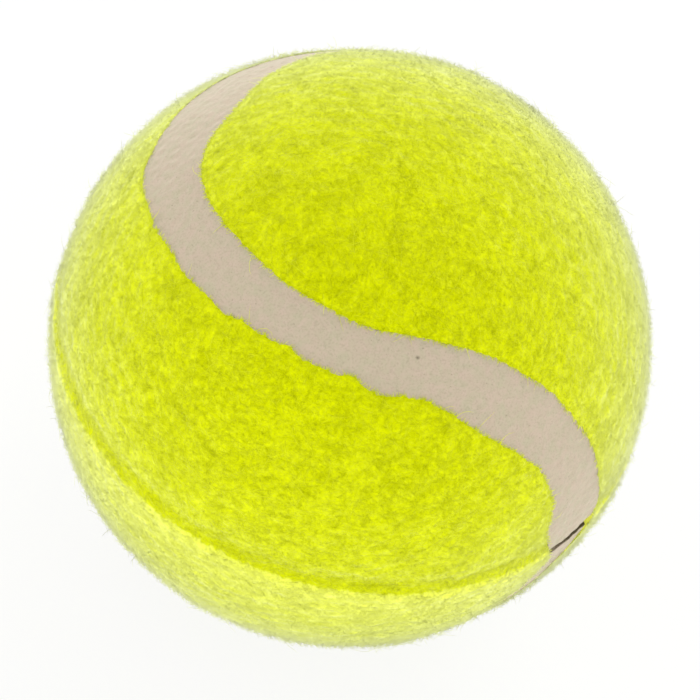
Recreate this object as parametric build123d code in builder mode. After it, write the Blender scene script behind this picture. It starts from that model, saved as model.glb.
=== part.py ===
from build123d import *
import os
from math import cos, pi, radians, sin

# Tennis ball. A hollow rubber core in two half shells is cemented rim to rim, coated with
# cement and covered by two felt panels, with a strip of seam cement in the gap between them.
# The origin is the ball's centre. XY is the plane where the cover's two moulds met, which
# left a lip and a groove around the felt, and +Z is up.

# Driving dimensions, millimetres
ball_diameter = 66.0
felt_thickness = 3.3
cover_cement_thickness = 0.2
core_wall = 3.4
strip_width = 6.2
strip_recess = 0.6

# Cement joint of the core: the film between the rims and the bead inside, millimetres
joint_film = 0.2
bead_depth = 0.5
bead_height = 1.6

# Moulding marks around the parting plane, millimetres
lip_round = 1.6
lip_height = 0.3
lip_drop = 0.9
groove_round = 0.9
groove_depth = 0.45
groove_rise = 0.6
pinch_round = 0.5
pinch_depth = 0.25

# Path of the seam around its own axis, degrees: how far it swings to each side, the third
# harmonic of that swing, and how far the lobes lean together along the path
seam_swing = 41.0
seam_swing_third = -2.9
seam_lean = -11.2

# Turn of the seam's axes in the ball's frame, degrees: about Z, then the new X, then the new Z
seam_heading = 108.4
seam_tilt = 88.3
seam_spin = -49.2

# How the seam's edges are drawn: smooth spans around the loop, the intervals between points
# in each, the small turn in radians that finds its heading, and how far cuts run past the felt
seam_span_count = 8
span_interval_count = 12
heading_step = 0.005
cut_overrun = 1.0

ball_radius = ball_diameter / 2
cover_inner_radius = ball_radius - felt_thickness
core_radius = cover_inner_radius - cover_cement_thickness
core_inner_radius = core_radius - core_wall
strip_radius = ball_radius - strip_recess
seam_half_angle = strip_width / ball_diameter
seam_plane = Plane.XY.rotated((seam_heading, seam_tilt, seam_spin), ordering=Intrinsic.ZXZ)


def seam_middle(turn):
    """Direction of the middle of the seam, in the seam's own axes, at a turn in radians."""
    around = turn + radians(seam_lean) * sin(4 * turn)
    swing = radians(seam_swing) * sin(2 * turn) + radians(seam_swing_third) * sin(6 * turn)
    return Vector(cos(swing) * cos(around), cos(swing) * sin(around), sin(swing))


def seam_edge(turn, side):
    """Direction of the seam's edge: side is 1 along the right panel and -1 along the left."""
    middle = seam_middle(turn)
    along = seam_middle(turn + heading_step) - seam_middle(turn - heading_step)
    across = middle.cross(along).normalized()
    edge = middle * cos(seam_half_angle) + across * (side * sin(seam_half_angle))
    return seam_plane.from_local_coords(edge)


def edge_rail(span, side, radius):
    """One span of the seam's edge, drawn at a radius, in line with the spans beside it."""
    span_turn = 2 * pi / seam_span_count
    steps = [interval / span_interval_count for interval in range(span_interval_count + 1)]
    turns = [(span + step) * span_turn for step in steps]
    headings = [
        seam_edge(turn + heading_step, side) - seam_edge(turn - heading_step, side)
        for turn in (turns[0], turns[-1])
    ]
    with BuildLine() as rail:
        Spline(
            *[seam_edge(turn, side) * radius for turn in turns],
            tangents=[heading.normalized() for heading in headings],
        )
    return rail.edge()


def edge_cut(side):
    """Ruled shell square through the cover, along one whole edge of the seam."""
    inner_radius = cover_inner_radius - cut_overrun
    outer_radius = ball_radius + lip_height + cut_overrun
    return Shell(
        [
            Face.make_surface_from_curves(
                edge_rail(span, side, inner_radius), edge_rail(span, side, outer_radius)
            )
            for span in range(seam_span_count)
        ]
    )


cuts = {side: edge_cut(side) for side in (1, -1)}
seam_start = seam_plane.from_local_coords(seam_middle(0))


# Upper half shell of the rubber core, down to the cement film
with BuildPart() as core_half_upper:
    Sphere(core_radius)
    Sphere(core_inner_radius, mode=Mode.SUBTRACT)
    split(bisect_by=Plane.XY.offset(joint_film / 2), keep=Keep.TOP)
core_half_upper.part.label = "core_half_upper"

# Lower half shell, the same moulding turned over
with BuildPart() as core_half_lower:
    add(mirror(core_half_upper.part, about=Plane.XY, mode=Mode.PRIVATE))
core_half_lower.part.label = "core_half_lower"

# Cement between the rims, with the bead that was squeezed out into the hollow
with BuildPart() as core_joint_cement:
    Cylinder(core_radius + cut_overrun, joint_film)
    Sphere(core_radius, mode=Mode.INTERSECT)
    Sphere(core_inner_radius, mode=Mode.SUBTRACT)
    with BuildSketch(Plane.XZ):
        with Locations((core_inner_radius, 0)):
            Ellipse(bead_depth, bead_height / 2)
    revolve(axis=Axis.Z)
    add(core_half_upper.part, mode=Mode.SUBTRACT)
    add(core_half_lower.part, mode=Mode.SUBTRACT)
core_joint_cement.part.label = "core_joint_cement"

# Coat of cement all over the core
with BuildPart() as cover_cement:
    Sphere(cover_inner_radius)
    Sphere(core_radius, mode=Mode.SUBTRACT)
cover_cement.part.label = "cover_cement"

# Whole felt cover before the seam is cut out, with the lip and groove of the moulds
with BuildPart() as felt_cover:
    Sphere(ball_radius)
    with BuildSketch(Plane.XZ):
        with Locations((ball_radius + lip_height - lip_round, -lip_drop)):
            Circle(lip_round)
    revolve(axis=Axis.Z)
    with BuildSketch(Plane.XZ):
        with Locations((ball_radius - groove_depth + groove_round, groove_rise)):
            Circle(groove_round)
    revolve(axis=Axis.Z, mode=Mode.SUBTRACT)
    Sphere(cover_inner_radius, mode=Mode.SUBTRACT)


def felt_panel(side):
    """One dumbbell-shaped panel: the felt on one side of the seam."""
    with BuildPart() as panel:
        add(felt_cover.part)
        split(bisect_by=cuts[side], keep=Keep.ALL)
        inside = panel.solids().sort_by_distance(seam_plane.z_dir * (side * ball_radius))[0]
        add(inside, mode=Mode.REPLACE)
    return panel.part


felt_panel_right = felt_panel(1)
felt_panel_right.label = "felt_panel_right"
felt_panel_left = felt_panel(-1)
felt_panel_left.label = "felt_panel_left"

# Seam strip in the gap between the panels, lower than the felt, pinched at the parting plane
with BuildPart() as seam_strip:
    Sphere(strip_radius)
    with BuildSketch(Plane.XZ):
        with Locations((strip_radius - pinch_depth + pinch_round, groove_rise)):
            Circle(pinch_round)
    revolve(axis=Axis.Z, mode=Mode.SUBTRACT)
    Sphere(cover_inner_radius, mode=Mode.SUBTRACT)
    for side in (1, -1):
        split(bisect_by=cuts[side], keep=Keep.ALL)
    between = seam_strip.solids().sort_by_distance(seam_start * strip_radius)[0]
    add(between, mode=Mode.REPLACE)
seam_strip.part.label = "seam_strip"

os.makedirs("parts", exist_ok=True)
pieces = [
    core_half_upper.part,
    core_half_lower.part,
    core_joint_cement.part,
    cover_cement.part,
    felt_panel_right,
    felt_panel_left,
    seam_strip.part,
]
for piece in pieces:
    export_step(piece, f"parts/{piece.label}.step")
    print(piece.label, "volume", round(piece.volume, 1), "mm3")
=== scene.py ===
"""Tennis ball: two felt panels with a raised nap, the seam's cement strip and the rubber core.

Metres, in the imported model's frame: the origin is the ball's centre, and XY is the plane where
the cover's two moulds met.
"""

import math

import bmesh
import bpy
import numpy as np
from bpy.props import FloatProperty, FloatVectorProperty, IntProperty, PointerProperty
from mathutils import Matrix, Vector


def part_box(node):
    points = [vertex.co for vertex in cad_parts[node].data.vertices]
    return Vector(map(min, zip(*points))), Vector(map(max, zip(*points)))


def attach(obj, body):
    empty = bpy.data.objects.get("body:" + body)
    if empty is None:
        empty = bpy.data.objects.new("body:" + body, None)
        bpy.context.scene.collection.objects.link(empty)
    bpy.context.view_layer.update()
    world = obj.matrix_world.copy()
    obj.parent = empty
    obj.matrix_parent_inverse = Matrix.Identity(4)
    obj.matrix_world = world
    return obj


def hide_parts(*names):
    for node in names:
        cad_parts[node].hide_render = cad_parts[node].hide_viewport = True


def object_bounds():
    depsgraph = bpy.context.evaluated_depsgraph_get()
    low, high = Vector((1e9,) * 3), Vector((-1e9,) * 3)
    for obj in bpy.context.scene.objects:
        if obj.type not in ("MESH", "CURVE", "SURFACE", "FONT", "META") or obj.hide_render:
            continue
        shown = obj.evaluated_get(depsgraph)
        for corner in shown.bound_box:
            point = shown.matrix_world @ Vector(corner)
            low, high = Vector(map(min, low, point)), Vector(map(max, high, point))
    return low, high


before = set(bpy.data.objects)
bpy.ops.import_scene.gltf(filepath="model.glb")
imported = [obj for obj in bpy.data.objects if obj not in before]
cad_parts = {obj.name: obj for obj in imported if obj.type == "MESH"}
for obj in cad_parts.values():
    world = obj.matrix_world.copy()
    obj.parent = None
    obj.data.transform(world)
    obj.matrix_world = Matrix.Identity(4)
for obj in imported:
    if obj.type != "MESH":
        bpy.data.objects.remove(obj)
cad_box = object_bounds()

bl_info = {
    "name": "Tennis Ball",
    "version": (1, 0, 0),
    "blender": (4, 5, 0),
    "location": "View3D > Sidebar > Ball",
    "description": "Builds a felt-covered tennis ball around its CAD frame",
    "category": "Object",
}


def node_reach(name):
    """Greatest distance of a CAD node's corners from the ball's centre."""
    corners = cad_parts[name].data.vertices
    return max(corner.co.length for corner in corners)


BALL_RADIUS = cad_box[1].z
COVER_INNER_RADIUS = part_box("cover_cement")[1].z
STRIP_RADIUS = node_reach("seam_strip")

SIDES = {"right": 1, "left": -1}
MAP_NAME = "OFBake"

# Smooth random lumps over the ball: size across, seed and, where it isn't the usual, waves
MOULD_WAVER = (0.005, 71)
BROAD_LUMPS = (0.005, 11)
TUFT_LUMPS = (0.0015, 12)
FINE_LUMPS = (0.0007, 13, 48)
FINE_GRAIN = (0.0006, 21)
BROAD_GRAIN = (0.003, 22)
FIBRE_TUFTS = (0.0007, 31)
FIBRE_PATCHES = (0.008, 32)
FIBRE_SWIRLS = ((0.004, 33), (0.004, 34), (0.004, 35))
FINE_TINTS = (0.0006, 41)
BROAD_TINTS = (0.007, 42)

# Seeds of the other draws, which each side and each piece of nap makes its own
BULGE_SEED = 40
FRAY_SEED = 60
SHORT_NAP_SEED = 80
LONG_NAP_SEED = 90
FRINGE_SEED = 95

# Steps of a felt panel's section: degrees around its rim, and shares of the way down its wall
RIM_STEPS = (15, 30, 45, 60, 75, 90)
WALL_STEPS = (0.3, 0.65, 1.0)

# The strip's mesh: rows around the ball, columns over its face, and rows in its map
STRIP_ROWS = 2080
STRIP_COLUMNS = 40
STRIP_MAP_ROWS = 16

# Bulges and nicks of the hand-cut felt edges that the photograph shows: the seam's turn in
# degrees, the half width of the bulge in degrees and how far it widens the strip
EDGE_BULGES = {
    1: [
        (107, 4, 0.0005),
        (119, 8, 0.0015),
        (159, 5, -0.0003),
        (172, 7, -0.0005),
        (194, 6, 0.0004),
        (202, 4, 0.0005),
        (213, 9, 0.0007),
        (226.5, 5, 0.0014),
        (236, 5, -0.0015),
        (243, 6, -0.0007),
    ],
    -1: [
        (117, 15, 0.0022),
        (130, 5, 0.0009),
        (139, 1.5, 0.00035),
        (148.5, 3, 0.00035),
        (154.5, 2, 0.0004),
        (157.5, 1.5, -0.00025),
        (160.5, 1.5, -0.00025),
        (163.5, 1.3, -0.00075),
        (168, 2.5, -0.0002),
        (172.5, 1.3, -0.00055),
        (177.5, 2.6, 0.0006),
        (184.5, 1.5, -0.00015),
        (196, 7, 0.0009),
        (208, 2.5, -0.00025),
        (222, 5.5, 0.0017),
        (231, 3, -0.0005),
        (237, 5, -0.0006),
    ],
}

# Small dark marks on the strip: the direction from the ball's centre, and the mark's radius
CEMENT_MARKS = [
    ((0.214, -0.598, 0.772), 0.00032),
    ((-0.381, -0.618, 0.688), 0.0005),
]


# Settings that a user would change


def distance(name, text, default):
    """A length setting in metres."""
    return FloatProperty(name=name, description=text, default=default, precision=5, unit="LENGTH")


def angle(name, text, degrees):
    """An angle setting, given in degrees."""
    return FloatProperty(name=name, description=text, default=math.radians(degrees), subtype="ANGLE")


def colour(name, text, default):
    """A linear colour setting."""
    return FloatVectorProperty(
        name=name, description=text, default=default, size=3, min=0, max=1, subtype="COLOR"
    )


def share(name, text, default):
    """A setting from 0 to 1."""
    return FloatProperty(name=name, description=text, default=default, min=0, max=1, subtype="FACTOR")


def count(name, text, default):
    """A setting that counts things."""
    return IntProperty(name=name, description=text, default=default, min=1)


class SeamSettings(bpy.types.PropertyGroup):
    """Path, section and colours of the strip between the panels."""

    width: distance("Width", "Strip between the two panels", 0.0064)
    swing: angle("Swing", "How far the seam swings to each side of its axis", 41.0)
    swing_third: angle("Third harmonic", "Third harmonic of the swing", -2.9)
    lean: angle("Lean", "How far the lobes lean together along the path", -11.2)
    heading: angle("Heading", "Turn of the seam's axes about Z", 108.4)
    tilt: angle("Tilt", "Turn of the seam's axes about the new X", 88.3)
    spin: angle("Spin", "Turn of the seam's axes about the new Z", -49.2)
    hollow: distance("Hollow", "How far the middle of the strip sags", 0.0001)
    meniscus: distance("Meniscus", "Cement drawn up along the felt", 0.00006)
    grain: distance("Grain", "Height of the cement's fine lumps", 0.000025)
    crease_depth: distance("Crease depth", "Drop of the strip where the moulds pinched it", 0.00042)
    crease_width: distance("Crease width", "Slope of the strip down to the crease", 0.0016)
    crease_rise: distance("Crease rise", "Height of the crease over the meeting plane", -0.0014)
    gap: distance("Gap", "Room between the strip and the felt", 0.000008)
    colour: colour("Cement", "Main colour of the cement", (0.508, 0.414, 0.31))
    warm_colour: colour("Warm cement", "Pinkish mottling", (0.575, 0.434, 0.352))
    cool_colour: colour("Cool cement", "Greenish mottling", (0.475, 0.424, 0.292))
    speck_colour: colour("Specks", "Fine dark specks", (0.075, 0.055, 0.03))
    # Dark colour in the strip's crease: painted shade of the crevice, partly dirt
    crease_shade_and_dirt_colour: colour("Crease", "Dirt in the crease", (0.05, 0.036, 0.006))


class FeltSettings(bpy.types.PropertyGroup):
    """Form and colours of the felt panels under their nap."""

    nap_height: distance("Nap height", "Felt kept back for the nap that stands on it", 0.0004)
    edge_round: distance("Edge round", "Width of the rounding of the felt's cut edge", 0.0007)
    edge_fall: distance("Edge fall", "Height of that rounding", 0.00006)
    edge_droop: distance("Edge droop", "How far the felt sinks towards its edge", 0.00006)
    edge_droop_reach: distance("Droop reach", "How far in from the edge it sinks", 0.0014)
    broad_lump: distance("Broad lumps", "Height of lumps 5 mm across", 0.00003)
    tuft_lump: distance("Tufts", "Height of tufts 1.5 mm across", 0.000025)
    fine_lump: distance("Fine lumps", "Height of lumps 0.7 mm across", 0.00004)
    lip_height: distance("Lip height", "Lip that the moulds left below their meeting plane", 0.00028)
    lip_reach: distance("Lip reach", "How far the lip runs down the ball", 0.003)
    groove_depth: distance("Groove depth", "Groove above the lip", 0.00022)
    groove_rise: distance("Groove rise", "Height of the groove above the meeting plane", 0.0013)
    groove_width: distance("Groove width", "Half width of the groove", 0.0011)
    fineness: count("Fineness", "Divisions along an edge of the geodesic net", 88)
    colour: colour("Felt", "Main colour of the felt", (0.83, 0.915, 0.0))
    shade_colour: colour("Deep felt", "Colour between the tufts", (0.60, 0.66, 0.0))
    pale_colour: colour("Pale felt", "Colour of flecks and stray fibres", (0.92, 0.985, 0.1))
    # Paler felt below the moulds' line: partly a fluffier nap, partly painted light from the bright
    # floor below
    fluffed_and_lit_colour: colour("Lower felt", "Fluffed felt below the moulds' line", (0.95, 1.0, 0.16))
    # Painted sheen: pale colours mixed into the felt's own colour where it is seen at a slant, palest
    # edge-on
    painted_sheen_colour: colour("Haze", "Fibre tips seen at a slant", (0.92, 1.0, 0.02))
    painted_edge_sheen_colour: colour("Bloom", "Fibre tips seen edge-on", (0.94, 1.0, 0.62))
    sheen: share("Sheen", "Weight of the sheen", 0.7)
    sheen_roughness: share("Sheen roughness", "How far in from the rim the sheen reaches", 0.37)
    sheen_tint: colour("Sheen tint", "Colour of the sheen", (0.96, 1.0, 0.55))


class NapSettings(bpy.types.PropertyGroup):
    """Fibres that stand on the felt."""

    short_count: count("Short fibres", "Short fibres in each piece of nap", 19500)
    short_pieces: count("Pieces", "Pieces of short nap on each panel", 2)
    short_length: distance("Short length", "Usual length of a short fibre", 0.0011)
    short_stand: distance("Short height", "Usual height of a short fibre's tip", 0.0005)
    long_count: count("Long fibres", "Long lying fibres on each panel", 6900)
    long_length: distance("Long length", "Usual length of a long fibre", 0.0028)
    long_stand: distance("Long height", "Usual height of a long fibre's arch", 0.00022)
    fringe_count: count("Fringe", "Fibres along each panel's cut edge", 9000)
    fringe_length: distance("Fringe length", "Usual length of a fibre of the fringe", 0.0005)
    root_thickness: distance("Root thickness", "Radius of a fibre at its root", 0.000028)
    tip_thickness: distance("Tip thickness", "Radius of a fibre near its tip", 0.000012)
    sunk: distance("Root depth", "How deep a fibre starts in the felt", 0.00012)


class CoreSettings(bpy.types.PropertyGroup):
    """Colours of the rubber core and of the cement brushed on it."""

    rubber_colour: colour("Rubber", "Moulded rubber", (0.075, 0.07, 0.066))
    dust_colour: colour("Dust", "Dusty bloom on the rubber", (0.17, 0.165, 0.155))
    cement_colour: colour("Brushed cement", "Cement brushed on the core", (0.52, 0.42, 0.26))
    streak_colour: colour("Streaks", "Paler streaks in that cement", (0.68, 0.58, 0.39))


class StageSettings(bpy.types.PropertyGroup):
    """Camera, floor and lights."""

    camera_distance: distance("Camera distance", "From the ball's centre", 0.462)
    camera_elevation: angle("Camera elevation", "Camera above the meeting plane", 50.18)
    camera_roll: angle("Camera roll", "Turn of the picture", 18.6)
    lens: FloatProperty(name="Lens", description="Focal length in millimetres", default=216.9)
    aim_drop: distance("Aim drop", "How far below the centre the camera looks", 0.00033)
    floor_size: distance("Floor size", "Side of the square floor", 6.0)
    floor_colour: colour("Floor", "Colour of the floor", (0.93, 0.93, 0.93))
    floor_glow: share("Floor glow", "How much of the floor shows plain white to the camera", 0.88)
    sky: FloatProperty(name="Sky", description="Strength of the even white light", default=0.87)
    key_power: FloatProperty(name="Key light", description="Watts", default=1.8)
    side_power: FloatProperty(name="Side lights", description="Watts, at full share", default=2.1)


# Shader nodes as expressions


def math_operators(operation):
    """An operator of Shade and its reflected form, which add a Math node."""
    return (
        lambda shade, other: shade.math(operation, shade, other),
        lambda shade, other: shade.math(operation, other, shade),
    )


class Shade:
    """A shader value: arithmetic on it adds Math nodes, and node() adds any other node."""

    def __init__(self, tree, socket=None):
        self.tree = tree
        self.socket = socket

    def node(self, kind, sockets=None, output=0, **settings):
        """Adds a node, sets its settings first and then its sockets, and gives one output."""
        made = self.tree.nodes.new(kind)
        for name, value in settings.items():
            setattr(made, name, value)
        for key, value in (sockets or {}).items():
            if isinstance(value, Shade):
                self.tree.links.new(value.socket, made.inputs[key])
            else:
                made.inputs[key].default_value = value
        return Shade(self.tree, made.outputs[output] if len(made.outputs) else None)

    def math(self, operation, *values):
        """A Math node on these values."""
        return self.node("ShaderNodeMath", dict(enumerate(values)), operation=operation)

    __add__, __radd__ = math_operators("ADD")
    __sub__, __rsub__ = math_operators("SUBTRACT")
    __mul__, __rmul__ = math_operators("MULTIPLY")

    def __abs__(self):
        return self.math("ABSOLUTE", self)

    def smooth(self, low, high):
        """0 below low and 1 above high, with a soft step between, also for high below low."""
        sockets = {"Value": self, "From Min": low, "From Max": high}
        return self.node("ShaderNodeMapRange", sockets, interpolation_type="SMOOTHSTEP")

    def between(self, first, second):
        """Two colours mixed by this value."""
        sockets = {"Factor": self}
        for key, paint in ((6, first), (7, second)):
            sockets[key] = paint if isinstance(paint, Shade) else (*paint, 1)
        return self.node("ShaderNodeMix", sockets, 2, data_type="RGBA", clamp_factor=True)

    def noise(self, size, detail=3.0, distortion=0.0):
        """Noise about 0.5 whose lumps are about size across, on these coordinates."""
        sockets = {"Vector": self, "Scale": 1 / size, "Detail": detail, "Distortion": distortion}
        return self.node("ShaderNodeTexNoise", sockets, noise_dimensions="3D")


def new_material(name):
    """An empty material, and a Shade that adds nodes to it."""
    material = bpy.data.materials.new(name)
    material.use_nodes = True
    material.node_tree.nodes.clear()
    return material, Shade(material.node_tree)


def finish_material(nodes, sockets):
    """Puts a Principled shader with these sockets on the material's surface."""
    shader = nodes.node("ShaderNodeBsdfPrincipled", sockets)
    nodes.node("ShaderNodeOutputMaterial", {"Surface": shader})


def felt_marks(nodes, felt):
    """Coordinates, masks of the felt below the moulds' line and in their groove, and its slant."""
    fray_size, fray_reach, line_blur = 0.0008, 0.0012, 0.00015
    lower_end, lower_start = -0.011, -0.0005
    groove_reach = felt.groove_width * 1.6
    place = nodes.node("ShaderNodeTexCoord", output="Object")
    height = nodes.node("ShaderNodeSeparateXYZ", {0: place}, "Z")
    ragged = height + (place.noise(fray_size) - 0.5) * fray_reach
    # Below the line the felt is made paler: partly a fluffier nap, partly painted light from below
    lower = ragged.smooth(line_blur, -line_blur) * height.smooth(lower_end, lower_start)
    # The groove's mask darkens the felt: partly pressed nap, partly painted shade in the groove
    pressed = abs(ragged - felt.groove_rise).smooth(groove_reach, 0)
    # The slant, from a Layer Weight node, drives the painted sheen
    facing = nodes.node("ShaderNodeLayerWeight", {"Blend": 0.5}, "Facing")
    return place, lower, pressed, facing


def finish_felt(nodes, felt, body, marks, sockets):
    """Finishes felt of this colour: paler below the line, painted sheen at a slant, and the shader's
    sheen.
    """
    _, lower, pressed, facing = marks
    fluffed_and_lit_share, painted_sheen_start, painted_sheen_gain, groove_sheen_loss = 0.7, 0.5, 0.4, 0.45
    # Paler below the moulds' line: partly a fluffier nap, partly painted light from the floor below
    body = (lower * fluffed_and_lit_share).between(body, felt.fluffed_and_lit_colour)
    # Painted sheen: pale colour mixed in where the felt is seen at a slant, most edge-on, less in the
    # groove
    painted_sheen_tone = (facing * facing).between(felt.painted_sheen_colour, felt.painted_edge_sheen_colour)
    painted_sheen_amount = facing * (facing * painted_sheen_gain + painted_sheen_start - pressed * groove_sheen_loss)
    sheen = {
        "Specular IOR Level": 0.0,
        "Sheen Weight": felt.sheen,
        "Sheen Roughness": felt.sheen_roughness,
        "Sheen Tint": (*felt.sheen_tint, 1),
    }
    finish_material(nodes, {"Base Color": painted_sheen_amount.between(body, painted_sheen_tone), **sheen, **sockets})


def felt_material(felt):
    """Matted wool under the nap: tufts with deeper colour between them, and crossing streaks."""
    material, nodes = new_material("felt_wool")
    marks = felt_marks(nodes, felt)
    place, _, pressed, _ = marks
    grain = place.noise(0.0004, detail=5)
    tufts = place.noise(0.0017, distortion=0.6)
    patches = place.noise(0.009, detail=2)
    streaks = abs(place.noise(0.0013, detail=2, distortion=2.5) - 0.5).smooth(0.05, 0.0)
    # Darker in the groove above the moulds' line: partly pressed felt, partly painted shade
    body = grain * 1.5 + tufts * 0.2 - 0.4 - pressed * 0.3
    body = body.between(felt.shade_colour, felt.colour)
    paleness = streaks * 0.1 + (patches - 0.5) * 0.1
    body = paleness.between(body, felt.pale_colour)
    relief = grain * 0.7 + tufts * 0.5 + streaks * 0.4
    bump = nodes.node("ShaderNodeBump", {"Height": relief, "Strength": 0.5, "Distance": 0.0003})
    finish_felt(nodes, felt, body, marks, {"Roughness": 0.95, "Normal": bump})
    return material


def nap_material(felt):
    """Fibres: u of their map is each fibre's tint, and v runs from its root to its tip."""
    material, nodes = new_material("felt_nap")
    marks = felt_marks(nodes, felt)
    place, _, pressed, _ = marks
    grain = place.noise(0.00034, detail=2)
    flecks = place.noise(0.0011, detail=4, distortion=1.0).smooth(0.5, 0.75)
    spot = nodes.node("ShaderNodeUVMap", uv_map=MAP_NAME)
    tint = nodes.node("ShaderNodeSeparateXYZ", {0: spot}, "X")
    tip = nodes.node("ShaderNodeSeparateXYZ", {0: spot}, "Y")
    # Painted shade towards each fibre's root and painted light towards its tip; darker in the groove,
    # partly pressed nap and partly painted shade
    body = tint + tip * 0.6 + grain * 3.0 - 1.75 - pressed * 0.35
    body = body.between(felt.shade_colour, felt.colour)
    strays = (tint - 0.75) * 1.6
    paleness = strays.math("MAXIMUM", strays, 0) + flecks * 0.25
    body = paleness.between(body, felt.pale_colour)
    finish_felt(nodes, felt, body, marks, {"Roughness": 0.85})
    return material


def cement_material(seam):
    """Seam cement: mottled, specked, pitted, and painted dark in the crease that the moulds left, as
    shade and grime.
    """
    material, nodes = new_material("seam_cement")
    place = nodes.node("ShaderNodeTexCoord", output="Object")
    mottle = place.noise(0.0015, detail=5).smooth(0.25, 0.75)
    warmth = place.noise(0.0009, detail=4, distortion=0.8).smooth(0.42, 0.64)
    specks = place.noise(0.0003, detail=2).smooth(0.68, 0.76)
    pits = place.noise(0.00022)
    crease = nodes.node("ShaderNodeAttribute", output="Fac", attribute_name="crease")
    # Painted shade in the crease, partly dirt, made uneven by the pits
    shade_and_dirt = (crease + (pits - 0.5) * 0.8 * crease).smooth(0.15, 0.9)
    body = mottle.between(seam.cool_colour, seam.colour)
    body = (warmth * 0.35).between(body, seam.warm_colour)
    body = (specks * 0.35 + pits.smooth(0.45, 0.75) * 0.16).between(body, seam.speck_colour)
    for direction, size in CEMENT_MARKS:
        spot = Vector(direction).normalized() * STRIP_RADIUS
        away = nodes.node("ShaderNodeVectorMath", {0: place, 1: spot}, "Value", operation="DISTANCE")
        ragged = away + (pits - 0.5) * size
        body = (ragged.smooth(size, size * 0.2) * 0.7).between(body, seam.speck_colour)
    relief = pits * 0.6 + mottle * 0.4
    bump = nodes.node("ShaderNodeBump", {"Height": relief, "Strength": 0.35, "Distance": 0.00015})
    finish_material(
        nodes,
        {
            "Base Color": shade_and_dirt.between(body, seam.crease_shade_and_dirt_colour),
            "Roughness": 0.78 + pits * 0.2,
            "Specular IOR Level": 0.3,
            "Sheen Weight": 0.4,
            "Sheen Tint": (1.0, 0.96, 0.82, 1),
            "Normal": bump,
        },
    )
    return material


def brushed_cement_material(core):
    """Thin cement on the core, brushed on and dried uneven."""
    material, nodes = new_material("brushed_cement")
    place = nodes.node("ShaderNodeTexCoord", output="Object")
    streaks = place.noise(0.0016, detail=4, distortion=1.2)
    puddles = place.noise(0.006, detail=2)
    body = streaks.smooth(0.35, 0.65).between(core.cement_colour, core.streak_colour)
    relief = streaks + puddles
    bump = nodes.node("ShaderNodeBump", {"Height": relief, "Strength": 0.4, "Distance": 0.0002})
    roughness = 0.45 + puddles * 0.4
    finish_material(nodes, {"Base Color": body, "Roughness": roughness, "Normal": bump})
    return material


def core_rubber_material(core):
    """Moulded rubber of the half shells, with a dusty bloom and a fine tooth."""
    material, nodes = new_material("core_rubber")
    place = nodes.node("ShaderNodeTexCoord", output="Object")
    dust = place.noise(0.005, detail=4).smooth(0.45, 0.8)
    tooth = place.noise(0.0003, detail=2)
    body = (dust * 0.6).between(core.rubber_colour, core.dust_colour)
    bump = nodes.node("ShaderNodeBump", {"Height": tooth, "Strength": 0.3, "Distance": 0.0001})
    roughness = 0.62 + dust * 0.2
    finish_material(nodes, {"Base Color": body, "Roughness": roughness, "Normal": bump})
    return material


# Shapes


def unit(vectors):
    """Rows of an array scaled to length 1."""
    return vectors / np.linalg.norm(vectors, axis=-1, keepdims=True)


def dots(first, second):
    """Row by row dot products."""
    return np.einsum("...i,...i->...", first, second)


def ripple(directions, size, seed, waves=36):
    """Smooth random lumps about size across over the ball, with mean 0 and spread 1."""
    draw = np.random.default_rng(seed)
    pitch = math.pi / size * draw.uniform(0.7, 1.3, (waves, 1))
    heading = unit(draw.normal(size=(waves, 3))) * pitch
    phase = draw.uniform(0, 2 * math.pi, waves)
    return np.cos(directions @ heading.T * BALL_RADIUS + phase).sum(1) * math.sqrt(2 / waves)


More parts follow.
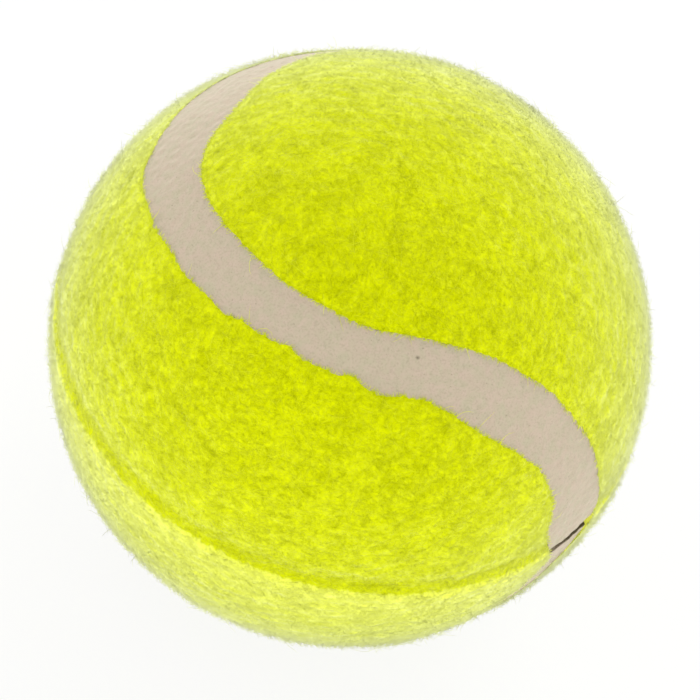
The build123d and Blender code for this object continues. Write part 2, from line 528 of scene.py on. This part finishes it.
class Seam:
    """The seam's path over the ball, by the CAD part's formula, with its hand-cut edges."""

    # Points along the path, directions looked up at once, and the turn that finds its heading
    steps = 1440
    batch = 8000
    heading_step = 0.005
    # Degrees that the photograph shows, and bulges for the others, of these half widths and size
    seen_turns = (100, 246)
    hidden_bulges = 16
    hidden_widths = (1.8, 6)
    hidden_size = 0.0005
    # Fray of the cut edges: its height, its waves and how often they go around the seam
    fray_height = 0.00006
    fray_waves = 20
    fray_counts = (60, 320)

    def __init__(self, settings):
        self.settings = settings
        turns = ((settings.heading, "Z"), (settings.tilt, "X"), (settings.spin, "Z"))
        axes = Matrix.Identity(3)
        for turn, axis in turns:
            axes = axes @ Matrix.Rotation(turn, 3, axis)
        self.axes = np.array(axes)
        self.turns = np.arange(self.steps) * (2 * math.pi / self.steps)
        self.bulges = {side: self.all_bulges(side) for side in SIDES.values()}

    def all_bulges(self, side):
        """The bulges seen in the photograph, and others like them on the hidden stretch."""
        draw = np.random.default_rng(BULGE_SEED + side)
        first, last = self.seen_turns
        hidden = [
            (
                draw.uniform(last, first + 360) % 360,
                draw.uniform(*self.hidden_widths),
                draw.normal(0, self.hidden_size),
            )
            for _ in range(self.hidden_bulges)
        ]
        return EDGE_BULGES[side] + hidden

    def middle(self, turn):
        """Directions of the middle of the strip at these turns."""
        s = self.settings
        around = turn + s.lean * np.sin(4 * turn)
        swing = s.swing * np.sin(2 * turn) + s.swing_third * np.sin(6 * turn)
        flat = np.cos(swing)
        local = np.stack([flat * np.cos(around), flat * np.sin(around), np.sin(swing)], -1)
        return local @ self.axes.T

    def pace(self, turn):
        """How the middle moves for each radian of turn."""
        step = self.heading_step
        return (self.middle(turn + step) - self.middle(turn - step)) / (2 * step)

    def across(self, turn):
        """Directions square to the seam, towards the right panel."""
        return unit(np.cross(self.middle(turn), self.pace(turn)))

    def nearest(self, directions):
        """The turn of the nearest point of the seam, and the angle from it, + to the right."""
        middles = self.middle(self.turns).astype(np.float32)
        turn = np.empty(len(directions))
        for start in range(0, len(directions), self.batch):
            part = slice(start, start + self.batch)
            closest = (directions[part].astype(np.float32) @ middles.T).argmax(1)
            turn[part] = self.turns[closest]
        pace = self.pace(turn)
        turn += dots(directions, pace) / dots(pace, pace)
        return turn, np.arcsin(np.clip(dots(directions, self.across(turn)), -1, 1))

    def half_width(self, turn, side):
        """From the strip's middle to the felt on one side, with the cut's wander and its fray."""
        wide = np.full(len(turn), self.settings.width / 2)
        for place, spread, size in self.bulges[side]:
            apart = (np.degrees(turn) - place + 180) % 360 - 180
            wide += size * np.exp(-((apart / spread) ** 2))
        draw = np.random.default_rng(FRAY_SEED + side)
        for _ in range(self.fray_waves):
            wave = np.cos(draw.integers(*self.fray_counts) * turn + draw.uniform(0, 2 * math.pi))
            wide += wave * self.fray_height * math.sqrt(2 / self.fray_waves)
        return wide

    def inset(self, directions, side):
        """Metres over the ball from a panel's edge inwards, and the seam's turn there."""
        turn, off = self.nearest(directions)
        return side * off * BALL_RADIUS - self.half_width(turn, side), turn


def mould_height(directions):
    """Metres over the ball from the wavering line where the moulds met, + upwards."""
    waver_height = 0.00012
    jog_height, jog_place, jog_spread = 0.00035, -110, 1.5
    waver = ripple(directions * (1, 1, 0), *MOULD_WAVER) * waver_height
    around = np.degrees(np.arctan2(directions[:, 1], directions[:, 0]))
    jog = jog_height / (1 + np.exp((around - jog_place) / jog_spread))
    return np.arcsin(np.clip(directions[:, 2], -1, 1)) * BALL_RADIUS - waver - jog


def felt_radius(felt, directions, inset):
    """Radius of the matted felt under the nap: lumps, the moulds' lip and groove, the edge."""
    lip_edge, lip_limit = 0.00025, 40
    lumps = felt.broad_lump * ripple(directions, *BROAD_LUMPS)
    lumps += felt.tuft_lump * ripple(directions, *TUFT_LUMPS)
    lumps += felt.fine_lump * ripple(directions, *FINE_LUMPS)
    inwards = np.clip(inset, 0, None)
    radius = BALL_RADIUS - felt.nap_height
    radius += lumps * (1 - np.exp(-inwards / felt.edge_round))
    height = mould_height(directions)
    below = np.clip(-height, 0, None)
    lip = 1 / (1 + np.exp(np.clip(height / lip_edge, -lip_limit, lip_limit)))
    radius += felt.lip_height * lip * np.exp(-((below / felt.lip_reach) ** 2))
    radius -= felt.groove_depth * np.exp(-(((height - felt.groove_rise) / felt.groove_width) ** 2))
    radius -= felt.edge_droop * np.exp(-inwards / felt.edge_droop_reach)
    past = 1 - np.clip(inset / felt.edge_round, 0, 1)
    return radius - felt.edge_fall * past**2


def geodesic(divisions):
    """Directions and outward triangles of a divided icosahedron, closer at the moulds' line."""
    net = bmesh.new()
    bmesh.ops.create_icosphere(net, subdivisions=1, radius=1)
    bmesh.ops.subdivide_edges(net, edges=net.edges[:], cuts=divisions - 1, use_grid_fill=True)
    bmesh.ops.triangulate(net, faces=net.faces[:])
    net.verts.index_update()
    directions = unit(np.array([corner.co[:] for corner in net.verts], dtype=float))
    triangles = np.array([[corner.index for corner in face.verts] for face in net.faces])
    net.free()
    around = np.arctan2(directions[:, 1], directions[:, 0])
    up = np.arcsin(np.clip(directions[:, 2], -1, 1))
    near, pull = math.radians(5), math.radians(2.5)
    up -= pull * np.tanh(up / near) * (1 - np.abs(up) / (math.pi / 2))
    flat = np.cos(up)
    return np.stack([flat * np.cos(around), flat * np.sin(around), np.sin(up)], -1), triangles


def towards(directions, goals, distance_over):
    """Directions moved over the ball towards goals by a distance in metres."""
    tangent = unit(goals - directions * dots(directions, goals)[:, None])
    turn = (distance_over / BALL_RADIUS)[:, None]
    return directions * np.cos(turn) + tangent * np.sin(turn)


def cut_panel(seam, side, directions, triangles, margin):
    """The part of a net on one side of the seam, up to margin from the felt's edge."""
    snap, passes = 0.00012, 3
    inset, turn = seam.inset(directions, side)
    depth = inset - margin
    close = np.abs(depth) < snap
    directions = directions.copy()
    directions[close] = towards(directions[close], seam.middle(turn[close]), depth[close])
    depth[close] = 0
    corners = depth[triangles]
    reached = (corners > 0).any(1)
    whole = triangles[reached & (corners >= 0).all(1)]
    cut, fresh = {}, []
    for triangle in triangles[reached & (corners < 0).any(1)].tolist():
        outline = []
        for here, there in zip(triangle, triangle[1:] + triangle[:1]):
            if depth[here] >= 0:
                outline.append(here)
            if depth[here] * depth[there] < 0:
                key = (min(here, there), max(here, there))
                outline.append(cut.setdefault(key, len(directions) + len(cut)))
        fresh += [(outline[0], b, c) for b, c in zip(outline[1:], outline[2:])]
    ends = np.array(list(cut))
    part = (depth[ends[:, 0]] / (depth[ends[:, 0]] - depth[ends[:, 1]]))[:, None]
    made = unit(directions[ends[:, 0]] * (1 - part) + directions[ends[:, 1]] * part)
    for _ in range(passes):
        off, at = seam.inset(made, side)
        made = towards(made, seam.middle(at), off - margin)
    directions = np.concatenate([directions, made])
    triangles = np.concatenate([whole, np.array(fresh)])
    used, renumbered = np.unique(triangles, return_inverse=True)
    return directions[used], renumbered.reshape(-1, 3)


def open_loop(triangles):
    """Corners along the open edge of a surface, in order."""
    pairs = np.concatenate([triangles[:, [0, 1]], triangles[:, [1, 2]], triangles[:, [2, 0]]])
    known = set(map(tuple, pairs.tolist()))
    following = {a: b for a, b in known if (b, a) not in known}
    loop = [next(iter(sorted(following)))]
    while following[loop[-1]] != loop[0]:
        loop.append(following[loop[-1]])
    if len(loop) != len(following):
        raise RuntimeError("a felt panel has more than one open edge")
    return np.array(loop)


def band(first, second):
    """Triangles that join two closed loops of corners."""
    a, b = first, np.roll(first, -1)
    c, d = second, np.roll(second, -1)
    return np.concatenate([np.stack([b, a, c], -1), np.stack([b, c, d], -1)])


def panel_map(seam, side, directions):
    """Places of directions in a square map: the panel laid out flat, its area kept."""
    local = directions @ seam.axes
    lowest = -0.98
    fall = np.sqrt(1 + np.clip(side * local[:, 2], lowest, 1))[:, None]
    cos, sin = math.cos(math.pi / 4), math.sin(math.pi / 4)
    spread = local[:, :2] @ np.array([[cos, -sin], [sin, cos]])
    return spread / fall / math.sqrt(2)


def panel_mesh(name, seam, felt, side, net):
    """A closed felt panel: lumpy face, rounded rim, cut wall and smooth back."""
    wall_spread, back_scale, back_place = 0.9, 0.16, (-0.87, 0)
    directions, triangles = cut_panel(seam, side, *net, felt.edge_round)
    loop = open_loop(triangles)
    inset, turn = seam.inset(directions, side)
    face_count, rim_count = len(directions), len(loop)
    goals = seam.middle(turn[loop])
    points = [directions * felt_radius(felt, directions, inset)[:, None]]
    places = [panel_map(seam, side, directions)]
    edge = towards(directions[loop], goals, np.full(rim_count, felt.edge_round))
    edge_radius = felt_radius(felt, edge, np.zeros(rim_count))
    for step in RIM_STEPS:
        over = felt.edge_round * math.sin(math.radians(step))
        ring = towards(directions[loop], goals, np.full(rim_count, over))
        ring_inset = np.full(rim_count, felt.edge_round - over)
        points.append(ring * felt_radius(felt, ring, ring_inset)[:, None])
        places.append(panel_map(seam, side, ring))
    for part in WALL_STEPS:
        radius = edge_radius + (COVER_INNER_RADIUS - edge_radius) * part
        points.append(edge * radius[:, None])
        spread = towards(edge, goals, (edge_radius - radius) * wall_spread)
        places.append(panel_map(seam, side, spread))
    points.append(directions * COVER_INNER_RADIUS)
    places.append(panel_map(seam, side, directions) * back_scale + back_place)
    ring_starts = [face_count + rim_count * ring for ring in range(len(points) - 2)]
    loops = [loop] + [start + np.arange(rim_count) for start in ring_starts]
    back_start = ring_starts[-1] + rim_count
    loops.append(back_start + loop)
    bands = [band(first, second) for first, second in zip(loops, loops[1:])]
    back = triangles[:, ::-1] + back_start
    triangles = np.concatenate([triangles, *bands, back])
    corner_map = np.concatenate(places)[triangles] * 0.5 + 0.5
    return triangle_mesh(name, np.concatenate(points), triangles, corner_map)


def triangle_mesh(name, points, triangles, corner_map, normals=None):
    """A smooth mesh of triangles, with a map of its triangles' corners, and normals if given."""
    sharp_angle = math.radians(40)
    mesh = bpy.data.meshes.new(name)
    mesh.vertices.add(len(points))
    mesh.vertices.foreach_set("co", points.astype(np.float32).ravel())
    mesh.loops.add(triangles.size)
    mesh.loops.foreach_set("vertex_index", triangles.astype(np.int32).ravel())
    mesh.polygons.add(len(triangles))
    mesh.polygons.foreach_set("loop_start", np.arange(0, triangles.size, 3, dtype=np.int32))
    layer = mesh.uv_layers.new(name=MAP_NAME)
    layer.data.foreach_set("uv", corner_map.astype(np.float32).ravel())
    mesh.update(calc_edges=True)
    if mesh.validate():
        raise RuntimeError(f"{name} has broken faces")
    mesh.shade_smooth()
    if normals is None:
        mesh.set_sharp_from_angle(angle=sharp_angle)
    else:
        mesh.normals_split_custom_set_from_vertices(normals)
    return mesh


def new_piece(name, mesh, material):
    """An object of the ball, with its finish."""
    mesh.materials.append(material)
    piece = bpy.data.objects.new(name, mesh)
    bpy.context.scene.collection.objects.link(piece)
    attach(piece, "root")
    return piece


def crowded_turns(seam, rows):
    """Turns around the seam, closer together where the strip is creased."""
    samples, crowding, crowd_reach = rows * 10 + 1, 4, 0.004
    turn = np.linspace(0, 2 * math.pi, samples)
    above = mould_height(seam.middle(turn)) - seam.settings.crease_rise
    crowd = np.cumsum(1 + crowding * np.exp(-((above / crowd_reach) ** 2)))
    crowd = (crowd - crowd[0]) / (crowd[-1] - crowd[0])
    return np.interp(np.arange(rows) / rows, crowd, turn)


def strip_face(settings, ring, place):
    """Radius of the strip along a ring, and the crease's painted shade and grime: it slopes down to a
    short wall.
    """
    wall, darkening_fade = 0.00012, 0.00006
    radius = STRIP_RADIUS - settings.hollow * (1 - place**2) + settings.meniscus * place**8
    lumps = ripple(ring, *FINE_GRAIN) + 2 * ripple(ring, *BROAD_GRAIN)
    radius = radius + settings.grain * lumps * (1 - place**6)
    above = mould_height(ring) - settings.crease_rise
    slope = np.clip(1 - above / settings.crease_width, 0, 1) ** 2
    radius -= settings.crease_depth * slope * np.clip(1 + above / wall, 0, 1)
    # Painted shade, partly dirt: darkest at the crease's short wall, fading off both ways, stronger
    # towards the right panel
    shade_and_dirt = np.where(above > 0, np.exp(-above / wall), np.clip(3 + above / darkening_fade, 0, 1))
    return radius, shade_and_dirt * (0.75 + 0.25 * place)


def ring_grid(rows, around, map_rows):
    """Triangles of a closed ring of rows of corners, and their places in a map of stacked rows."""
    fill = 0.96
    row, column = np.divmod(np.arange(rows * around), around)
    next_row, next_column = (row + 1) % rows, (column + 1) % around
    corners = [row * around + column, next_row * around + column]
    corners += [next_row * around + next_column, row * around + next_column]
    span = rows // map_rows
    u, v = (row % span) / span, (row // span + column / around * fill) / map_rows
    du, dv = 1 / span, fill / around / map_rows
    places = [(u, v), (u + du, v), (u + du, v + dv), (u, v + dv)]
    halves = ((0, 1, 2), (0, 2, 3))
    triangles = [np.stack([corners[i] for i in half], -1) for half in halves]
    corner_map = [np.stack([np.stack(places[i], -1) for i in half], 1) for half in halves]
    return np.concatenate(triangles), np.concatenate(corner_map)


def strip_mesh(name, seam):
    """The closed ring of cement, hollow along its middle and creased where the moulds met."""
    turn = crowded_turns(seam, STRIP_ROWS)
    middle, across = seam.middle(turn), seam.across(turn)
    gap = seam.settings.gap
    reach = {side: (seam.half_width(turn, side) - gap) / BALL_RADIUS for side in (1, -1)}
    face = np.linspace(-1, 1, STRIP_COLUMNS)
    shares = np.concatenate([[-1, -1], face, [1, 1, 0]])
    depths = np.concatenate([[1, 0.5], np.zeros(STRIP_COLUMNS), [0.5, 1, 1]])
    rings, creases = [], []
    for place, depth in zip(shares, depths):
        off = ((place + 1) / 2 * (reach[1] + reach[-1]) - reach[-1])[:, None]
        ring = middle * np.cos(off) + across * np.sin(off)
        radius, shade_and_dirt = strip_face(seam.settings, ring, place)
        radius += (COVER_INNER_RADIUS - radius) * depth
        rings.append(ring * radius[:, None])
        creases.append(shade_and_dirt)
    points = np.stack(rings, 1).reshape(-1, 3)
    triangles, corner_map = ring_grid(STRIP_ROWS, len(shares), STRIP_MAP_ROWS)
    mesh = triangle_mesh(name, points, triangles, corner_map)
    layer = mesh.attributes.new("crease", "FLOAT", "POINT")
    layer.data.foreach_set("value", np.stack(creases, 1).astype(np.float32).ravel())
    return mesh


def fibre_mesh(name, paths, tints, nap):
    """Closed three-sided strands along paths, each with its own tint in the map."""
    margin, fill, apart = 0.02, 0.96, 0.008
    fibres, stations, _ = paths.shape
    ahead = unit(np.gradient(paths, axis=1))
    outward = unit(paths)
    aside = unit(np.cross(ahead, outward))
    above = np.cross(aside, ahead)
    thick = np.linspace(nap.root_thickness, nap.tip_thickness, stations)[None, :, None]
    rings = []
    for corner in range(3):
        turn = corner * 2 * math.pi / 3
        rings.append(paths + thick * (above * math.cos(turn) + aside * math.sin(turn)))
    rings = np.stack(rings, 2)[:, :-1]
    points = np.concatenate([rings.reshape(fibres, -1, 3), paths[:, -1:]], 1)
    each = points.shape[1]
    pattern = [(0, 2, 1)]
    for ring in range(stations - 2):
        for corner in range(3):
            a, b = ring * 3 + corner, ring * 3 + (corner + 1) % 3
            pattern += [(a, b, b + 3), (a, b + 3, a + 3)]
    last = (stations - 2) * 3
    pattern += [(last + corner, last + (corner + 1) % 3, each - 1) for corner in range(3)]
    starts = np.arange(fibres) * each
    triangles = (starts[:, None, None] + np.array(pattern)).reshape(-1, 3)
    number = np.arange(each)
    along = np.where(number == each - 1, 1, number // 3 / (stations - 1))
    beside = np.where(number == each - 1, 0, number % 3 - 1) * apart
    u = margin + fill * tints[:, None] + beside
    v = np.broadcast_to(margin + fill * along, u.shape)
    corner_map = np.stack([u, v], -1).reshape(-1, 2)[triangles]
    points = points.reshape(-1, 3)
    return triangle_mesh(name, points, triangles, corner_map, unit(points))


def fibre_tints(draw, roots, usual):
    """Each fibre's tint: paler in patches."""
    patchy, spread = 0.03, 0.2
    patches = patchy * ripple(roots, *FINE_TINTS) + patchy * ripple(roots, *BROAD_TINTS)
    return np.clip(usual + draw.normal(0, spread, len(roots)) + patches, 0, 1)


class NapBed:
    """The felt of one panel, and the fibres that are planted on it."""

    def __init__(self, scene, side, material):
        self.seam = Seam(scene.ball_seam)
        self.felt = scene.ball_felt
        self.nap = scene.ball_nap
        self.side = side
        self.material = material

    def roots(self, draw, wanted):
        """Seeded places of fibres, in tufts, and fewer in the moulds' groove."""
        usual, tufted, patchy, thinned, edge_gap = 0.75, 0.05, 0.03, 0.3, 0.00003
        found = []
        while sum(map(len, found)) < wanted:
            spots = unit(draw.normal(size=(wanted * 2, 3)))
            inset, _ = self.seam.inset(spots, self.side)
            density = usual + tufted * ripple(spots, *FIBRE_TUFTS)
            density += patchy * ripple(spots, *FIBRE_PATCHES)
            pressed = (mould_height(spots) - self.felt.groove_rise) / self.felt.groove_width
            density *= 1 - thinned * np.exp(-(pressed**4))
            found.append(spots[(inset > edge_gap) & (draw.uniform(size=len(spots)) < density)])
        return np.concatenate(found)[:wanted]

    def headings(self, draw, roots, shy):
        """Ways that fibres lie: swirling, away from the moulds' line and from the cut edge."""
        swirled, strewn, line_reach, turned_in = 0.6, 1.6, 0.0007, 4
        swirl = np.stack([ripple(roots, *lumps) for lumps in FIBRE_SWIRLS], -1)
        heading = swirl * swirled + draw.normal(size=roots.shape) * strewn
        height = mould_height(roots)
        heading[:, 2] += np.sign(height) * np.exp(-np.abs(height) / line_reach)
        inset, turn = self.seam.inset(roots, self.side)
        inwards = self.side * self.seam.across(turn) * turned_in * np.exp(-inset / shy)[:, None]
        return heading + inwards

    def paths(self, draw, roots, heading, length, lift, curl, bends):
        """Points along fibres that start at roots, run ahead, curl and rise by lift."""
        least_curl = 0.05
        heading = unit(heading - roots * dots(roots, heading)[:, None])
        sideways = np.cross(roots, heading)
        turn = draw.normal(0, curl, len(roots))
        turn = np.where(np.abs(turn) < least_curl, least_curl, turn)
        paths = []
        for step in range(bends + 1):
            part = step / bends
            ahead = length * np.sin(turn * part) / turn / BALL_RADIUS
            aside = length * (1 - np.cos(turn * part)) / turn / BALL_RADIUS
            spots = unit(roots + heading * ahead[:, None] + sideways * aside[:, None])
            inset, _ = self.seam.inset(spots, self.side)
            paths.append(spots * (felt_radius(self.felt, spots, inset) + lift(part))[:, None])
        return np.stack(paths, 1)

    def plant(self, name, draw, roots, heading, length, lift, curl, bends, tint):
        """Makes a piece of the fibres on these roots."""
        paths = self.paths(draw, roots, heading, length, lift, curl, bends)
        mesh = fibre_mesh(name, paths, fibre_tints(draw, roots, tint), self.nap)
        new_piece(name, mesh, self.material)

    def short_nap(self, name, seed):
        """Short fibres that rise to their tips."""
        draw = np.random.default_rng((seed, 1 + self.side))
        nap = self.nap
        roots = self.roots(draw, nap.short_count)
        length = nap.short_length * draw.uniform(0.6, 1.4, len(roots))
        rise = nap.short_stand * draw.uniform(0.3, 1.5, len(roots))

        def lift(part):
            return (rise + nap.sunk) * part**0.8 - nap.sunk

        heading = self.headings(draw, roots, nap.short_length / 2)
        self.plant(name, draw, roots, heading, length, lift, curl=1.1, bends=2, tint=0.42)

    def long_nap(self, name, seed):
        """Long curling fibres that arch over the felt, some of them loose at one end."""
        draw = np.random.default_rng((seed, 1 + self.side))
        nap = self.nap
        loose_share, loose_lift = 0.3, 3
        roots = self.roots(draw, nap.long_count)
        length = nap.long_length * draw.uniform(0.5, 1.5, len(roots))
        rise = nap.long_stand * draw.gamma(4, 0.25, len(roots))
        loose = draw.uniform(size=len(roots)) < loose_share

        def lift(part):
            arch = math.sin(math.pi * part) ** 0.7
            return rise * np.where(loose, part * loose_lift, arch) + nap.sunk * (0.6 * part - 0.6)

        heading = self.headings(draw, roots, nap.long_length / 2)
        self.plant(name, draw, roots, heading, length, lift, curl=1.6, bends=5, tint=0.7)

    def fringe(self, name, seed):
        """Short fibres along the cut edge that reach out over the cement."""
        draw = np.random.default_rng((seed, 1 + self.side))
        nap, side = self.nap, self.side
        root_reach, usual_rise = 0.0005, 0.00012
        turn = draw.uniform(0, 2 * math.pi, nap.fringe_count)
        inset = draw.uniform(0, root_reach, len(turn))
        off = (side * (self.seam.half_width(turn, side) + inset) / BALL_RADIUS)[:, None]
        across = self.seam.across(turn)
        roots = self.seam.middle(turn) * np.cos(off) + across * np.sin(off)
        length = nap.fringe_length * draw.uniform(0.5, 1.5, len(roots))
        rise = usual_rise * draw.uniform(0.2, 2, len(roots))

        def lift(part):
            return (rise + nap.sunk) * part**0.6 - nap.sunk

        heading = draw.normal(size=roots.shape) * 0.7 - side * across
        self.plant(name, draw, roots, heading, length, lift, curl=1.2, bends=3, tint=0.7)


# Operators, one for each group of pieces


class BALL_OT_felt_panels(bpy.types.Operator):
    """Build the two interlocking felt panels"""

    bl_idname = "ball.felt_panels"
    bl_label = "Felt Panels"

    def execute(self, context):
        felt, seam = context.scene.ball_felt, Seam(context.scene.ball_seam)
        material = felt_material(felt)
        net = geodesic(felt.fineness)
        for name, side in SIDES.items():
            mesh = panel_mesh(f"felt_{name}", seam, felt, side, net)
            panel = new_piece(f"felt_{name}", mesh, material)
            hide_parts(f"felt_panel_{name}")
        return {"FINISHED"}


class BALL_OT_felt_nap(bpy.types.Operator):
    """Raise the nap: short standing fibres, long fibres over them and a fringe at the cut edge"""

    bl_idname = "ball.felt_nap"
    bl_label = "Felt Nap"

    def execute(self, context):
        material = nap_material(context.scene.ball_felt)
        for name, side in SIDES.items():
            bed = NapBed(context.scene, side, material)
            for number in range(1, bed.nap.short_pieces + 1):
                bed.short_nap(f"nap_{name}_{number}", SHORT_NAP_SEED + number)
            bed.long_nap(f"fibres_{name}", LONG_NAP_SEED)
            bed.fringe(f"fringe_{name}", FRINGE_SEED)
        return {"FINISHED"}


class BALL_OT_seam_strip(bpy.types.Operator):
    """Lay the strip of seam cement between the panels"""

    bl_idname = "ball.seam_strip"
    bl_label = "Seam Strip"

    def execute(self, context):
        settings = context.scene.ball_seam
        mesh = strip_mesh("seam_cement_strip", Seam(settings))
        strip = new_piece("seam_cement_strip", mesh, cement_material(settings))
        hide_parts("seam_strip")
        return {"FINISHED"}


class BALL_OT_core(bpy.types.Operator):
    """Finish the rubber core and the cement on and in it"""

    bl_idname = "ball.core"
    bl_label = "Core"

    def execute(self, context):
        core = context.scene.ball_core
        rubber, cement = core_rubber_material(core), brushed_cement_material(core)
        finishes = {
            "core_half_upper": rubber,
            "core_half_lower": rubber,
            "core_joint_cement": cement,
            "cover_cement": cement,
        }
        for name, material in finishes.items():
            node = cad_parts[name]
            node.data.materials.clear()
            node.data.materials.append(material)
        return {"FINISHED"}


def white_to_camera(nodes):
    """1 for rays from the camera and for what mirrors or glass would show of the backdrop."""
    kinds = ("Is Camera Ray", "Is Glossy Ray", "Is Transmission Ray")
    camera, glossy, clear = (nodes.node("ShaderNodeLightPath", output=kind) for kind in kinds)
    return camera.math("MAXIMUM", camera, glossy.math("MAXIMUM", glossy, clear))


class BALL_OT_stage(bpy.types.Operator):
    """Set up the floor, the soft light and the camera"""

    bl_idname = "ball.stage"
    bl_label = "Stage"

    def execute(self, context):
        stage = context.scene.ball_stage
        self.floor(stage)
        self.lights(context.scene, stage)
        self.camera(context.scene, stage)
        context.scene.view_settings.view_transform = "Standard"
        return {"FINISHED"}

    @staticmethod
    def floor(stage):
        """A pale floor under the ball, which keeps a faint shadow and otherwise shows white."""
        half = stage.floor_size / 2
        corners = [(-half, -half, 0), (half, -half, 0), (half, half, 0), (-half, half, 0)]
        mesh = bpy.data.meshes.new("floor")
        mesh.from_pydata(corners, [], [(0, 1, 2, 3)])
        floor = bpy.data.objects.new("floor", mesh)
        floor.location.z = -BALL_RADIUS
        bpy.context.scene.collection.objects.link(floor)
        material, nodes = new_material("floor_paint")
        paint = nodes.node("ShaderNodeBsdfDiffuse", {"Color": (*stage.floor_colour, 1)})
        glow = nodes.node("ShaderNodeEmission", {"Color": (1, 1, 1, 1), "Strength": 1})
        factor = white_to_camera(nodes) * stage.floor_glow
        shown = nodes.node("ShaderNodeMixShader", {0: factor, 1: paint, 2: glow})
        nodes.node("ShaderNodeOutputMaterial", {"Surface": shown})
        mesh.materials.append(material)

    @staticmethod
    def lights(scene, stage):
        """Even white light all round, a soft key from above and low soft lights at the sides."""
        world = bpy.data.worlds.new("studio")
        world.use_nodes = True
        world.node_tree.nodes.clear()
        nodes = Shade(world.node_tree)
        seen = white_to_camera(nodes)
        strength = seen * (1 - stage.sky) + stage.sky
        sky = nodes.node("ShaderNodeBackground", {"Color": (1, 1, 1, 1), "Strength": strength})
        nodes.node("ShaderNodeOutputWorld", {"Surface": sky})
        scene.world = world
        lamps = {
            "key": ((0.15, 0.48, 0.72), stage.key_power),
            "left": ((-0.8, -0.2, 0.06), stage.side_power * 0.8),
            "front": ((0.15, -0.9, 0.04), stage.side_power * 0.8),
            "right": ((0.75, -0.52, 0.06), stage.side_power * 0.55),
            "back": ((0, 0.85, 0.28), stage.side_power * 0.75),
        }
        width, height = 0.5, 0.16
        for name, (place, power) in lamps.items():
            data = bpy.data.lights.new(name, "AREA")
            data.energy = power
            data.shape = "RECTANGLE"
            data.size = width
            data.size_y = height
            lamp = bpy.data.objects.new(name, data)
            lamp.location = place
            lamp.rotation_euler = lamp.location.to_track_quat("Z", "Y").to_euler()
            lamp.visible_camera = False
            scene.collection.objects.link(lamp)

    @staticmethod
    def camera(scene, stage):
        """A long lens that looks down on the ball as the photograph does."""
        data = bpy.data.cameras.new("camera")
        data.lens = stage.lens
        camera = bpy.data.objects.new("camera", data)
        turn = Matrix.Rotation(math.pi / 2 - stage.camera_elevation, 4, "X")
        turn = turn @ Matrix.Rotation(stage.camera_roll, 4, "Z")
        out = Vector((0, -stage.aim_drop, stage.camera_distance))
        camera.matrix_world = turn @ Matrix.Translation(out)
        scene.collection.objects.link(camera)
        scene.camera = camera


class BALL_PT_panel(bpy.types.Panel):
    """Lists the ball's operators and settings"""

    bl_label = "Tennis Ball"
    bl_idname = "BALL_PT_panel"
    bl_space_type = "VIEW_3D"
    bl_region_type = "UI"
    bl_category = "Ball"

    def draw(self, context):
        for operator in OPERATORS:
            self.layout.operator(operator.bl_idname)
        for name in SETTINGS:
            box = self.layout.box()
            group = getattr(context.scene, name)
            for key in group.__annotations__:
                box.prop(group, key)


SETTINGS = {
    "ball_seam": SeamSettings,
    "ball_felt": FeltSettings,
    "ball_nap": NapSettings,
    "ball_core": CoreSettings,
    "ball_stage": StageSettings,
}
OPERATORS = (
    BALL_OT_core,
    BALL_OT_seam_strip,
    BALL_OT_felt_panels,
    BALL_OT_felt_nap,
    BALL_OT_stage,
)


def register():
    """Adds the classes and their settings to Blender."""
    for kind in (*SETTINGS.values(), *OPERATORS, BALL_PT_panel):
        bpy.utils.register_class(kind)
    for name, settings in SETTINGS.items():
        setattr(bpy.types.Scene, name, PointerProperty(type=settings))


def unregister():
    """Takes the settings and their classes out of Blender again."""
    for name in SETTINGS:
        delattr(bpy.types.Scene, name)
    for kind in (BALL_PT_panel, *OPERATORS, *SETTINGS.values()):
        bpy.utils.unregister_class(kind)


def main():
    """Builds the ball in the order of its making."""
    register()
    for name in ("Cube", "Light", "Camera"):
        if name in bpy.data.objects:
            bpy.data.objects.remove(bpy.data.objects[name])
    bpy.ops.ball.core()
    bpy.ops.ball.seam_strip()
    bpy.ops.ball.felt_panels()
    bpy.ops.ball.felt_nap()
    bpy.ops.ball.stage()


if __name__ == "__main__":
    main()
